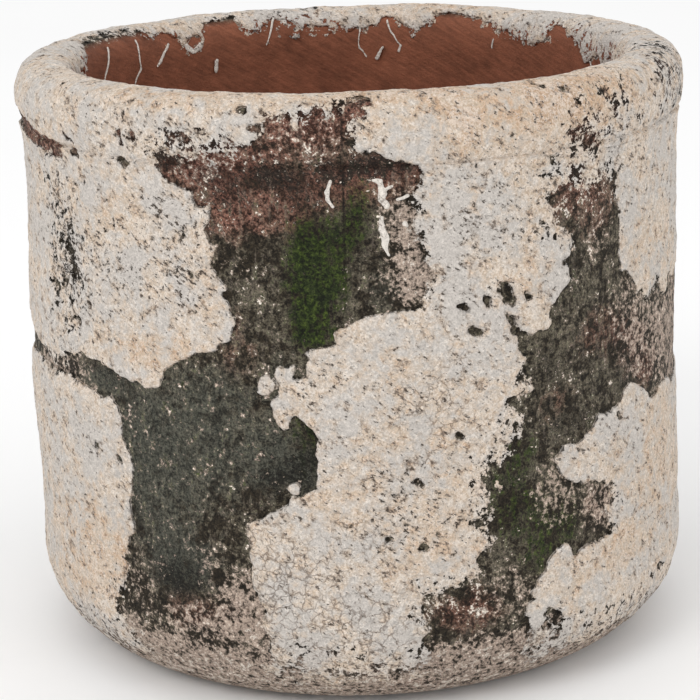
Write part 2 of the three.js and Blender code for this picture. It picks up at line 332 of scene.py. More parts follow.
RIM_COATS = {
    "rim_coat_left": [
        (-96, 188), (-84, 189), (-77, 189), (-72, 188), (-66, 187), (-60, 185),
        (-57, 184), (-54, 183), (-50, 174), (-42, 172), (-38, 172), (-34, 175),
        (-32.5, 184), (-32, 187), (-29, 188.5), (-27, 187), (-26, 184), (-24, 186),
        (-22, 184), (-20, 187), (-17, 187.5), (-15, 189.5), (-13.5, 191), (-13, 194),
        (-13.8, 197), (-14.5, 199.5), (-12, 198), (-10.5, 196.5), (-9, 196), (-8, 198.5),
        (-6.8, 199.5), (-5.5, 197), (-4.5, 198.5), (-3.5, 200.5), (-1.5, 200),
        (-1.5, 222), (-10, 221), (-25, 222.5), (-40, 221), (-60, 222), (-80, 223),
        (-96, 222)],
    "rim_coat_right": [
        (-1.5, 203.5), (-0.6, 203), (0.6, 200.5), (2.4, 198), (1, 196.4), (-0.6, 195),
        (-1, 192.5), (0.4, 190), (0.2, 188.5), (3, 187), (6, 185.2), (8, 184.2), (10, 182.5),
        (11, 172), (20, 172), (30, 172), (50, 172), (60, 182.5), (70, 183), (84, 182.5),
        (84, 222), (60, 223), (45, 221), (30, 222), (15, 221), (-1.5, 222)],
    "rim_coat_back_right": [
        (84, 185), (92, 188.5), (100, 185.5), (106, 189.5), (111, 187), (116, 182),
        (119, 188), (123, 194), (130, 196), (137, 192), (140, 184), (155, 182.5), (171, 184),
        (171, 217), (165, 218), (160, 216.5), (155, 214), (151, 212.5), (147, 215),
        (140, 217.5), (130, 217.5), (122, 220), (115, 222.5), (108, 223.5), (100, 222),
        (84, 222)],
    "rim_coat_back_left": [
        (171, 184), (180, 187.5), (190, 186), (197, 183.5), (205, 187), (209, 190),
        (216, 194), (224, 191), (228, 185), (236, 189), (243, 186), (253, 189.5), (264, 188),
        (264, 222), (260, 220), (256, 214), (252, 210.5), (247, 211.5), (242, 210),
        (236, 210), (232, 213.5), (229, 217), (225, 218.5), (220, 220), (216, 219),
        (214, 215), (208, 214), (203, 215.5), (200, 217.5), (197, 216), (193, 217.5),
        (188, 216), (184, 217.5), (180, 218.8), (176, 219.2), (171, 217.5)],
}

# Runs of wet lime that dried on the bare clay: (angle, run, half width) along each stroke.
WALL_DRIPS = {
    "drip_left": [[(-3.1, 178.7, 0.45), (-3.9, 175.7, 0.7), (-4.2, 173.6, 0.5), (-3.4, 171, 0.3)]],
    "drip_right": [
        [(3, 178.6, 0.5), (4.2, 178, 0.9), (4.5, 175.3, 1.3), (4.1, 173.2, 0.9), (5, 171.2, 0.9)],
        [(4.7, 175.6, 0.5), (6.4, 176.9, 0.45)],
        [(7, 173, 0.5), (8.6, 173.2, 0.5)]],
    "drip_middle": [
        [(4.5, 167.6, 0.6), (4.2, 164.3, 1), (4.9, 161, 1.1), (5.2, 159, 0.8), (5.6, 157, 0.35)],
        [(8, 165.6, 0.7), (8.3, 164.6, 0.5)]],
}
INSIDE_DRIPS = [
    [(171, 216, 0.4), (170, 220, 0.35), (167.6, 225, 0.3), (168.6, 227.5, 0.45)],
    [(172, 226, 0.35), (173.6, 229.4, 0.3)],
    [(177.3, 217, 0.5), (177.4, 222, 0.25), (177.6, 226, 0.35), (176.3, 229, 0.25)],
    [(197.5, 214, 0.5), (199, 219, 0.4), (200, 223, 0.2)],
    [(201.4, 216.5, 0.5), (201.5, 218.8, 0.45)],
    [(212.6, 226.5, 0.2), (212.9, 230.5, 0.3)],
    [(235.6, 216, 0.5), (235.7, 222, 0.35), (235.4, 226, 0.45), (237.4, 230.3, 0.3)],
    [(246.5, 216, 0.5), (247.6, 221, 0.4), (249.5, 225, 0.5), (250.3, 229.5, 0.3)],
    [(112.5, 220, 0.5), (112.3, 223, 0.4), (111, 227, 0.4)],
    [(143.2, 215, 0.6), (143.4, 219, 0.5)],
    [(144.2, 221.5, 0.3), (144.5, 224.5, 0.25)],
    [(131.8, 219, 0.8), (133.5, 220.6, 0.8), (136.6, 219.5, 1), (135.5, 217.5, 1),
     (133, 217.6, 0.8)],
    [(226, 219, 0.5), (228.5, 224, 0.7), (230, 225.6, 0.4)],
    [(217, 221, 1), (219, 222.6, 0.8), (221, 220, 0.7)],
    [(260, 217, 0.5), (259.6, 220.5, 0.4)],
]

# Places where the coat has broken through: (angle, run, radius).
BREAKS = [
    (-54, 145, 1.8), (-52.5, 143, 1.5), (-55, 150, 1.3), (-57.5, 141, 1.5), (-61, 138, 2),
    (-53, 130, 1.2), (19, 133, 1.3), (17.5, 140.3, 1.2), (21, 141.6, 1.5), (24.4, 146, 1.2),
    (25, 143, 1.8), (25.2, 140.5, 1.2), (28.5, 141, 1), (26.4, 131, 1.4), (32.6, 42.5, 1.8),
    (33.6, 40.3, 1.4), (31.6, 38.8, 1.3), (38.3, 190, 1.3), (45.3, 197, 1.4), (36.3, 200.3, 1.1),
    (39, 196, 0.9), (33.3, 180, 1), (37.2, 187, 1.6), (41, 184.5, 2), (43.4, 183, 1.7),
    (2, 201.5, 1.8), (1.4, 204, 1.2), (-26.5, 190.5, 1.1), (-24, 193.3, 0.9), (-19, 190, 1.3),
    (-29, 191.4, 1), (-15.1, 193.6, 1.1), (-39.5, 190, 1), (-36.4, 190, 1.1), (-52.6, 186, 1.2),
    (-51, 181.5, 1.6), (-39, 181.5, 1.4), (-57.4, 201.4, 0.9), (-17.3, 199.3, 0.7), (9.4, 89, 1),
    (4.6, 73, 0.9), (10.2, 70, 1), (19, 75, 1.2), (12.6, 73.3, 0.8), (63.5, 41, 1.3),
    (49, 97.5, 0.8), (-49, 92, 0.8), (-43, 90, 0.8), (16, 103, 0.8), (32.4, 203.5, 1.2),
]

# ---- stains, and painted shade under the rim, as soft dabs of (angle, run, half width, half height, strength) ---

SOOT = [
    (-36, 92, 18, 28, 1), (-27, 102, 18, 22, 0.9), (-31, 62, 13, 12, 1), (-14, 98, 12, 11, 1),
    (-47, 113, 12, 5, 0.9), (-12, 120, 8, 10, 0.5), (-22, 114, 12, 9, 0.6), (6, 146, 8, 7, 0.4),
    (-8, 92, 6, 8, 0.8), (160, 60, 20, 40, 0.8), (112, 110, 24, 20, 0.8), (216, 100, 22, 30, 0.9),
    (232, 60, 24, 24, 0.7),
]
MOSS = [
    (-7.3, 158, 7, 10, 1), (-6.4, 146, 7.5, 12, 1), (-7, 135, 6, 6, 0.9), (-2.5, 158, 4, 14, 0.5),
    (0.6, 172, 4, 7, 0.5), (0, 164, 4, 6, 0.5), (-8.5, 106, 5, 6, 0.5), (-7.5, 98, 4, 8, 0.35),
    (25, 84, 8, 12, 0.4), (34, 78, 10, 9, 0.35), (34, 68, 10, 8, 0.5), (27.5, 75, 10, 10, 0.35),
    (27, 95, 6, 6, 0.35), (30, 61, 7, 6, 0.35), (165, 140, 10, 22, 0.9), (225, 120, 12, 20, 0.7),
    (118, 70, 14, 14, 0.6),
]
RED = [
    (-66, 184, 26, 8, 1), (-45, 191, 40, 8, 0.8), (50, 191, 40, 8, 0.8), (3, 199, 9, 7, 1),
    (-18, 171, 24, 12, 0.9), (1, 179, 22, 8, 0.9), (-20, 186, 22, 7, 0.9), (-7, 195, 16, 9, 1),
    (8, 183, 10, 5, 1), (-66, 181, 24, 5, 1), (-27, 181, 20, 6, 0.9), (38, 172, 12, 14, 0.75),
    (44, 165, 10, 12, 0.65), (42, 187, 12, 7, 0.8), (68, 197, 20, 12, 0.85), (45, 126, 16, 9, 0.5),
    (54, 118, 12, 12, 0.55), (60, 108, 8, 8, 0.65), (-30, 48, 9, 8, 0.7), (-21, 48, 10, 7, 0.5),
    (17, 49, 13, 8, 0.75), (34, 107, 9, 6, 0.45), (-19, 128, 8, 12, 0.45), (44, 72, 8, 6, 0.6),
    (1, 30, 6, 2, 0.8), (8, 23, 16, 4, 0.6), (130, 187, 26, 10, 0.9), (217, 187, 26, 10, 0.9),
    (140, 112, 16, 10, 0.6), (200, 150, 20, 20, 0.6),
]
# Blackish spots on the clay; the dabs between runs 174 and 185 at the front are painted shade in the
# crease under the rim.
DARK_AND_RIM_SHADE = [
    (-12.5, 180, 9, 5, 1), (-31, 184.5, 9, 4, 1), (5, 183, 13, 4, 1), (-31, 57, 9, 7, 1),
    (-3, 181, 6, 4, 0.9), (-22, 180, 10, 4, 0.6), (-12, 92, 9, 7, 0.85), (-8, 99, 5, 9, 0.7),
    (-20, 174, 7, 5, 0.55), (-8, 175, 6, 6, 0.5), (52, 108, 7, 6, 0.6), (51, 121, 6, 9, 0.5),
    (37, 101, 9, 4, 0.6), (33, 120, 7, 8, 0.35), (1, 29.7, 4, 1.3, 1), (6, 22.6, 12, 1.2, 0.9),
    (38, 150, 5, 5, 0.5), (-24, 162, 4, 4, 0.5), (-21, 147, 3, 6, 0.5), (-46, 116, 9, 3, 0.5),
]
PALE = [
    (-30, 43, 13, 7, 0.6), (-19, 42, 12, 8, 0.6), (9.5, 151, 8, 12, 0.7), (8.5, 167, 6, 8, 0.6),
    (34, 78, 10, 11, 0.75), (54, 114, 10, 9, 0.45), (54, 129, 12, 14, 0.6), (-7, 193, 11, 8, 0.35),
    (-24, 182, 12, 5, 0.5), (-60, 114, 16, 6, 0.7), (-66, 128, 10, 16, 0.6), (46, 71, 11, 8, 0.75),
    (-26, 64, 9, 7, 0.3), (-19, 50, 10, 12, 0.8), (25, 52, 12, 9, 0.4), (8, 165, 6, 10, 0.4),
    (10, 150, 7, 9, 0.4), (44, 153, 8, 9, 0.35), (63, 118, 9, 14, 0.6), (76, 113, 26, 22, 0.8),
    (-40, 52, 8, 12, 0.35), (-22, 158, 6, 6, 0.2), (150, 110, 20, 12, 0.5),
    (245, 112, 14, 10, 0.6),
]
OCHRE = [
    (-50, 62, 26, 12, 0.9), (-56, 46, 24, 8, 0.6), (-33, 126, 20, 6, 0.8), (-24, 150, 6, 12, 0.4),
    (32, 198, 45, 11, 1.25), (60, 70, 30, 20, 0.5), (-46, 166, 20, 9, 0.45), (6, 204, 32, 5, 1),
    (-28, 204, 40, 4, 0.7), (18, 194, 5, 9, 0.8), (13, 191, 3, 9, 0.7), (30, 176, 8, 9, 0.35),
    (28, 148, 8, 8, 0.5), (4, 128, 14, 8, 0.35), (11, 72, 14, 12, 0.6), (10, 96, 16, 16, 0.5),
    (-2, 82, 10, 8, 0.45), (60, 145, 18, 12, 0.45), (-15, 218, 30, 6, 0.6), (-45, 218, 20, 6, 0.5),
    (47, 55, 16, 8, 0.5), (-33, 201, 16, 5, 0.55), (-60, 185, 18, 6, 0.4), (13, 174, 3, 4, 0.8),
    (19, 173, 2.5, 6, 0.7), (66, 90, 20, 12, 0.35), (160, 208, 40, 8, 0.6), (230, 212, 30, 8, 0.5),
]
PITTED = [
    (22, 165, 16, 18, 0.5), (-31, 166, 14, 8, 1), (-28, 148, 11, 9, 1), (-41, 152, 18, 14, 0.7),
    (-46, 136, 16, 9, 0.5), (-35, 190, 20, 8, 0.5), (8, 88, 12, 9, 0.8), (6, 76, 10, 9, 0.7),
    (20, 115, 7, 7, 0.5), (-56, 150, 12, 22, 1), (-58, 165, 9, 12, 0.6), (14, 78, 8, 8, 0.7),
    (-5, 122, 14, 8, 0.25), (26, 195, 12, 8, 0.4), (44, 90, 10, 5, 0.3), (-48, 224, 16, 6, 0.5),
    (185, 90, 20, 20, 0.6), (140, 150, 20, 14, 0.6),
]
CRACKED = [
    (-12, 58, 16, 20, 1), (0, 47, 20, 12, 0.9), (12, 108, 14, 14, 0.6), (0, 74, 12, 9, 0.6),
    (-3, 98, 6, 10, 0.4), (14, 128, 16, 12, 0.35), (6, 90, 12, 10, 0.3), (190, 70, 26, 26, 0.7),
]
FRAYED = [
    (-57, 142, 12, 24, 0.4), (-62, 166, 12, 14, 0.3), (-61, 114, 14, 5, 0.5),
    (40, 172, 15, 20, 0.75), (22, 82, 9, 18, 0.6), (25, 100, 8, 9, 0.5), (15, 53, 14, 8, 0.8),
    (28, 113, 6, 10, 0.35), (-44, 48, 7, 11, 0.4), (9, 165, 6, 16, 0.35), (46, 195, 14, 9, 0.4),
    (70, 196, 18, 12, 0.7), (-28, 188, 20, 6, 0.3), (47, 70, 8, 9, 0.45), (60, 131, 14, 6, 0.3),
    (10, 148, 5, 6, 0.4), (-50, 152, 14, 10, 0.25), (-18, 46, 6, 8, 0.3), (50, 188, 12, 6, 0.5),
    (-18, 183, 20, 7, 0.55), (-6, 195, 12, 9, 0.3), (78, 200, 12, 14, 0.8), (244, 212, 18, 6, 0.7),
    (195, 212, 26, 6, 0.45), (120, 216, 22, 5, 0.6), (232, 217, 24, 5, 0.5), (-4, 196, 12, 8, 0.3),
    (-24, 187, 12, 5, 0.35),
]


def scatter_behind(brush, count, half_width, half_height, strength, rng):
    """Adds dabs to the back of the pot, with their sizes and strengths varied."""
    for _ in range(count):
        size = rng.uniform(0.6, 1.4)
        brush.append((rng.uniform(102, 258), rng.uniform(40, 208), half_width * size,
                      half_height * size, strength * rng.uniform(0.5, 1)))


def weather_behind():
    """Gives the back of the pot weather like the front's, placed by a fixed seed."""
    rng = np.random.default_rng(11)
    scatter_behind(OCHRE, 14, 15, 9, 0.8, rng)
    scatter_behind(PITTED, 12, 13, 10, 0.9, rng)
    scatter_behind(CRACKED, 5, 16, 14, 0.8, rng)
    scatter_behind(FRAYED, 14, 9, 10, 0.7, rng)
    scatter_behind(RED, 8, 13, 10, 0.8, rng)
    scatter_behind(MOSS, 7, 7, 12, 0.8, rng)
    scatter_behind(PALE, 8, 10, 12, 0.6, rng)
    scatter_behind(DARK_AND_RIM_SHADE, 10, 8, 8, 0.8, rng)
    for _ in range(36):
        BREAKS.append((rng.uniform(102, 258), rng.uniform(45, 205), rng.uniform(0.7, 2)))


def shade_values(points, angle, run, own_coat=None):
    """What every vertex knows about its place: four groups of three numbers."""
    fray = fraying(angle, run)
    coat = own_coat
    if coat is None:
        coat = coat_reach(points, angle, run)
    foot = np.clip((FOOT_RUN - 1 - run + 4 * lumps(points, 9, 5)) / 7, 0, 1)
    pale = np.maximum(dabs(angle, run, PALE), 0.9 * foot)
    seam = np.clip((run - SEAM_RUN) / 14, 0, 1) * np.clip((CROWN_RUN - run) / 4, 0, 1)
    inside = np.clip(run - INSIDE_RUN + RIM_INSIDE, 0, 60)
    return {
        "coat": (coat, fray, pale),
        "stain": (dabs(angle, run, MOSS), dabs(angle, run, SOOT), dabs(angle, run, RED)),
        "wear": (dabs(angle, run, OCHRE), dabs(angle, run, PITTED), dabs(angle, run, CRACKED)),
        "tone": (dabs(angle, run, DARK_AND_RIM_SHADE), inside, seam),
    }


def fraying(angle, run):
    """How far the coat has crumbled to specks, from 0 to 1, which it has round foot and lip."""
    foot = 0.85 * np.clip((FOOT_RUN - run) / 14, 0, 1)
    lip = 0.45 * np.exp(-((run - LIP_RUN) / 5) ** 2)
    return np.maximum(dabs(angle, run, FRAYED), np.maximum(foot, lip))


def weather(reach, points, angle, run):
    """Turns the distance inside a smooth outline into the distance inside the ragged coat."""
    away = np.full(len(angle), 3.0)
    jag_x, jag_y = 1.1 * lumps(points, 2.1, 38), 1.1 * lumps(points, 2.1, 39)
    for middle, height, radius in BREAKS:
        x, y = across(angle, middle) + jag_x, run - height + jag_y
        away = np.minimum(away, np.hypot(x + 0.5 * y, 1.2 * y) - radius - 0.45)
    behind = np.clip((np.abs(angle) - BACK) / 15, 0, 1)
    nibbled = 0.8 * lumps(points, 5.5, 31) + 0.55 * lumps(points, 2.4, 32)
    nibbled += behind * (4.6 * lumps(points, 15, 36) + 2.6 * lumps(points, 7, 37))
    crumbs = lumps(points, 1.5, 33)
    pores = 1.3 - 0.42 * dabs(angle, run, PITTED) - 0.3 * fraying(angle, run)
    pores = (pores - rough(points, 2.3, 34)) * 1.6
    reach = reach + nibbled + 0.55 * crumbs
    reach += fraying(angle, run) * 6 * rough(points, 3.2, 35, 2)
    return np.minimum(np.minimum(reach, away + 0.5 * crumbs), pores)


def coat_reach(points, angle, run):
    """How far inside the lime a place on the clay lies, whichever patch it is in."""
    reach = np.full(len(points), -2.0 * FAR)
    for outline in (*COATS.values(), *RIM_COATS.values()):
        reach = np.maximum(reach, inside_outline(angle, run, outline))
    return weather(reach, points, angle, run)


def handmade(points):
    """Moves points off true, as a hand-pressed pot is, and keeps the foot flat on the ground."""
    angle = np.radians(angle_of(points))
    height = points[:, 2] / CROWN
    left, right = np.clip(-np.sin(angle), 0, 1) ** 2, np.clip(np.sin(angle), 0, 1) ** 2
    bulge = left * (1.1 * np.exp(-((height - 0.52) / 0.16) ** 2)
                    - 0.8 * np.exp(-((height - 0.24) / 0.1) ** 2)
                    + 1.0 * np.exp(-((height - 0.95) / 0.08) ** 2))
    bulge = bulge + right * 1.2 * np.exp(-((height - 0.09) / 0.08) ** 2)
    bulge = bulge + 0.45 * lumps(points, 42, 51) + 0.3 * lumps(points, 19, 52)
    out = np.hypot(points[:, 0], points[:, 1])
    moved = points.copy()
    moved[:, :2] *= (1 + np.clip(height * 12, 0, 1) * bulge / np.maximum(out, 60))[:, None]
    rise = 0.6 * np.sin(angle) + 0.5 * lumps(points, 36, 53)
    moved[:, 2] += rise * height ** 4
    return moved


# ---- making meshes ------------------------------------------------------------------------------

def draw_line(bm, line, spacing, closed=False):
    """Draws a profile in the plane of the front, with its run kept at each vertex."""
    layers = bm.verts.layers.float
    if "run" not in layers:
        layers.new("run")
        layers.new("radius")
    corners = [*line, line[0]] if closed else line
    places = []
    for start, end in zip(corners, corners[1:]):
        steps = max(1, round(math.dist(start[:2], end[:2]) / spacing))
        places += [[a + (b - a) * i / steps for a, b in zip(start, end)] for i in range(steps)]
    if not closed:
        places.append(line[-1])
    drawn = []
    for radius, height, run in places:
        vert = bm.verts.new((0, -radius, height))
        vert[layers["run"]], vert[layers["radius"]] = run, radius
        drawn.append(vert)
    for a, b in zip(drawn, drawn[1:] + drawn[:1] * closed):
        bm.edges.new((a, b))
    return drawn


def turn_line(bm, start, sweep, spacing, merge=False):
    """Spins the drawn profile from one angle through a sweep, both in degrees."""
    bmesh.ops.rotate(bm, cent=(0, 0, 0), verts=bm.verts,
                     matrix=Matrix.Rotation(math.radians(start), 3, "Z"))
    steps = max(1, round(math.radians(sweep) * WALL_RADIUS / spacing / ARC_CUTS))
    drawn = set(bm.edges)
    bmesh.ops.spin(bm, geom=bm.verts[:] + bm.edges[:], cent=(0, 0, 0), axis=(0, 0, 1),
                   angle=math.radians(sweep), steps=steps, use_merge=merge)
    radius, run = (bm.verts.layers.float[key] for key in ("radius", "run"))
    arcs = [e for e in bm.edges if e not in drawn and
            max(abs(e.verts[0][key] - e.verts[1][key]) for key in (radius, run)) < 1e-4
            and abs(e.verts[0].co.z - e.verts[1].co.z) < 1e-4]
    bmesh.ops.subdivide_edges(bm, edges=arcs, cuts=ARC_CUTS - 1, use_grid_fill=True)
    for vert in bm.verts:
        grow = vert[radius] / math.hypot(vert.co.x, vert.co.y)
        vert.co.x *= grow
        vert.co.y *= grow
    bmesh.ops.recalc_face_normals(bm, faces=bm.faces)


def read(bm):
    """Places, angles and runs of a bmesh's vertices."""
    layer = bm.verts.layers.float["run"]
    points = np.array([v.co for v in bm.verts])
    run = np.array([v[layer] for v in bm.verts])
    return points, angle_of(points), run


def place(bm, points):
    """Moves a bmesh's vertices to new places."""
    for vert, point in zip(bm.verts, points):
        vert.co = point


def piece(name, bm, nodes, material, values):
    """Makes the finished object, in metres, with its shading values, and ties it to the frame."""
    for edge in bm.edges:
        edge.smooth = not edge.is_manifold or edge.calc_face_angle() < math.radians(SHARP)
    mesh = bpy.data.meshes.new(name)
    bm.to_mesh(mesh)
    bm.free()
    mesh.transform(Matrix.Scale(MM, 4))
    mesh.polygons.foreach_set("use_smooth", [True] * len(mesh.polygons))
    for key, columns in values.items():
        attribute = mesh.attributes.new(key, "FLOAT_VECTOR", "POINT")
        attribute.data.foreach_set("vector", np.stack(columns, 1).astype(np.float32).ravel())
    mesh.materials.append(material)
    made = bpy.data.objects.new(name, mesh)
    bpy.context.scene.collection.objects.link(made)
    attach(made, "root")
    if nodes:
        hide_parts(*nodes)
    return made


def outward(points):
    """Level and away from the pot's axis."""
    flat = points * (1, 1, 0)
    return flat / np.maximum(np.linalg.norm(flat, axis=1, keepdims=True), 1e-6)


def rim_outward(points):
    """Away from the middle of the rim's section."""
    away = points - outward(points) * RIM_MIDDLE[0] - (0, 0, RIM_MIDDLE[1])
    return away / np.maximum(np.linalg.norm(away, axis=1, keepdims=True), 1e-6)


def clay_relief(points):
    """The uneven surface of the bare clay."""
    return (0.28 * rough(points, 14, 61) + 0.18 * rough(points, 4.2, 62)
            - 0.45 * np.clip(rough(points, 3.2, 63) - 0.6, 0, 1))


def seam_groove(angle):
    """1 along the front seam, falling to 0 beside it."""
    return np.exp(-(across(angle, SEAM) / 0.7) ** 2)


def skin_outward(points, run):
    """Straight out from the wall, turning over the crease to straight out from the rim."""
    share = np.clip((run - NECK_RUN) / 5, 0, 1)[:, None]
    away = outward(points) * (1 - share) + rim_outward(points) * share
    return away / np.linalg.norm(away, axis=1, keepdims=True)


def crease_fill(run):
    """What was smoothed into the crease, which rounds its corner off."""
    return CREASE_FILL * np.exp(-np.abs(run - NECK_RUN) / CREASE_WIDTH)


# ---- shader recipes -----------------------------------------------------------------------------

class Value:
    """A number that changes over the surface: Python sums on it become Math nodes."""

    def __init__(self, recipe, socket):
        self.recipe, self.socket = recipe, socket

    def math(self, operation, *others):
        return self.recipe.node("ShaderNodeMath", {"operation": operation},
                                dict(enumerate((self, *others))))

    def flipped(self, operation, other):
        return self.recipe.node("ShaderNodeMath", {"operation": operation}, {0: other, 1: self})

    def __add__(self, other):
        return self.math("ADD", other)

    def __sub__(self, other):
        return self.math("SUBTRACT", other)

    def __mul__(self, other):
        return self.math("MULTIPLY", other)

    def __rsub__(self, other):
        return self.flipped("SUBTRACT", other)

    __radd__ = __add__
    __rmul__ = __mul__

    def most(self, other):
        return self.math("MAXIMUM", other)

    def least(self, other):
        return self.math("MINIMUM", other)

    def clamped(self):
        return self.most(0).least(1)

    def past(self, edge, softness):
        """0 below an edge and 1 above it, with a soft step."""
        return ((self - edge) * (1 / softness) + 0.5).clamped()


class Recipe:
    """One material's node tree."""

    def __init__(self, name):
        self.material = bpy.data.materials.new(name)
        self.material.use_nodes = True
        self.tree = self.material.node_tree
        self.tree.nodes.clear()
        self.place = self.node("ShaderNodeTexCoord", output="Object")

    def node(self, kind, settings=None, inputs=None, output=0):
        made = self.tree.nodes.new(kind)
        for key, value in (settings or {}).items():
            setattr(made, key, value)
        for key, value in (inputs or {}).items():
            socket = made.inputs[key] if isinstance(key, int) else next(
                s for s in made.inputs if key in (s.identifier, s.name))
            if isinstance(value, Value):
                self.tree.links.new(value.socket, socket)
            else:
                socket.default_value = value
        if isinstance(output, str):
            return Value(self, next(
                s for s in made.outputs if output in (s.identifier, s.name)))
        return Value(self, made.outputs[output]) if made.outputs else None

    def known(self, name):
        """Three numbers that the vertices carry."""
        vector = self.node("ShaderNodeAttribute", {"attribute_name": name}, output="Vector")
        split = self.node("ShaderNodeSeparateXYZ", inputs={"Vector": vector})
        return [Value(self, s) for s in split.socket.node.outputs]

    def drawn_out(self, lengths, turn=(0, 0, 0)):
        """Places for a pattern whose grains are drawn out along the axes of a turned frame."""
        return self.node("ShaderNodeMapping", {"vector_type": "TEXTURE"}, {
            "Vector": self.place, "Scale": lengths, "Rotation": turn})

    def grain(self, size, detail=2.0, roughness=0.5, vector=None, distortion=0.0):
        """Noise about 0, mostly from -1 to 1, whose grains are `size` mm across."""
        noise = self.node("ShaderNodeTexNoise", inputs={
            "Vector": vector or self.place, "Scale": 1 / (size * MM), "Detail": detail,
            "Roughness": roughness, "Distortion": distortion}, output="Fac")
        return (noise - 0.5) * 7

    def cells(self, size, feature, vector=None):
        return self.node("ShaderNodeTexVoronoi", {"feature": feature}, {
            "Vector": vector or self.place, "Scale": 1 / (size * MM)}, output="Distance")

    def mix(self, share, a, b):
        return self.node("ShaderNodeMix", {"data_type": "RGBA"}, {
            "Factor_Float": share, "A_Color": a, "B_Color": b}, output="Result_Color")

    def shade(self, color, amount):
        """A colour made lighter or darker by a value round 1."""
        start = color if isinstance(color, Value) else color[:3]
        return self.node("ShaderNodeVectorMath", {"operation": "SCALE"},
                         {"Vector": start, "Scale": amount})

    def finish(self, color, roughness, height, depth):
        bump = self.node("ShaderNodeBump", inputs={
            "Strength": 1.0, "Distance": depth * MM, "Height": height}, output="Normal")
        surface = self.node("ShaderNodeBsdfPrincipled", inputs={
            "Base Color": color, "Roughness": roughness, "Normal": bump,
            "Specular IOR Level": 0.25})
        self.node("ShaderNodeOutputMaterial", inputs={"Surface": surface})
        return self.material


def rgb(red, green, blue):
    """A display colour from 0 to 255 as the linear colour that a shader wants."""
    def linear(c):
        c /= 255
        return c / 12.92 if c <= 0.04045 else ((c + 0.055) / 1.055) ** 2.4
    return (*(linear(c) for c in (red, green, blue)), 1)


LIME_WARM = rgb(207, 187, 166)
LIME_COOL = rgb(200, 193, 186)
# Whiter lime, which is also the painted highlight on raised grains.
LIME_WHITE_AND_HIGHLIGHT = rgb(222, 214, 205)
LIME_STAIN = rgb(186, 146, 110)
LIME_SMEAR = rgb(150, 143, 136)
# Dirt on the lime, also used for painted shade in its crevices.
LIME_DIRT_AND_CREVICE_SHADE = rgb(106, 92, 81)
LIME_PIT = rgb(56, 48, 40)
CLAY_GREY = rgb(106, 99, 84)
CLAY_BROWN = rgb(48, 41, 31)
CLAY_RED = rgb(76, 45, 35)
CLAY_PINK = rgb(146, 103, 88)
CLAY_INSIDE = rgb(132, 82, 61)
SOOT_GREEN = rgb(80, 81, 72)
# Near black: soot, the seam's joint, and painted shade under the rim and in crevices.
DEEP_SOOT_AND_SHADE = rgb(26, 24, 20)
MOSS_DEEP = rgb(29, 41, 11)
MOSS_BRIGHT = rgb(66, 80, 27)
DUST = rgb(142, 130, 118)
FILM = rgb(190, 170, 155)
FLECK = rgb(208, 199, 188)


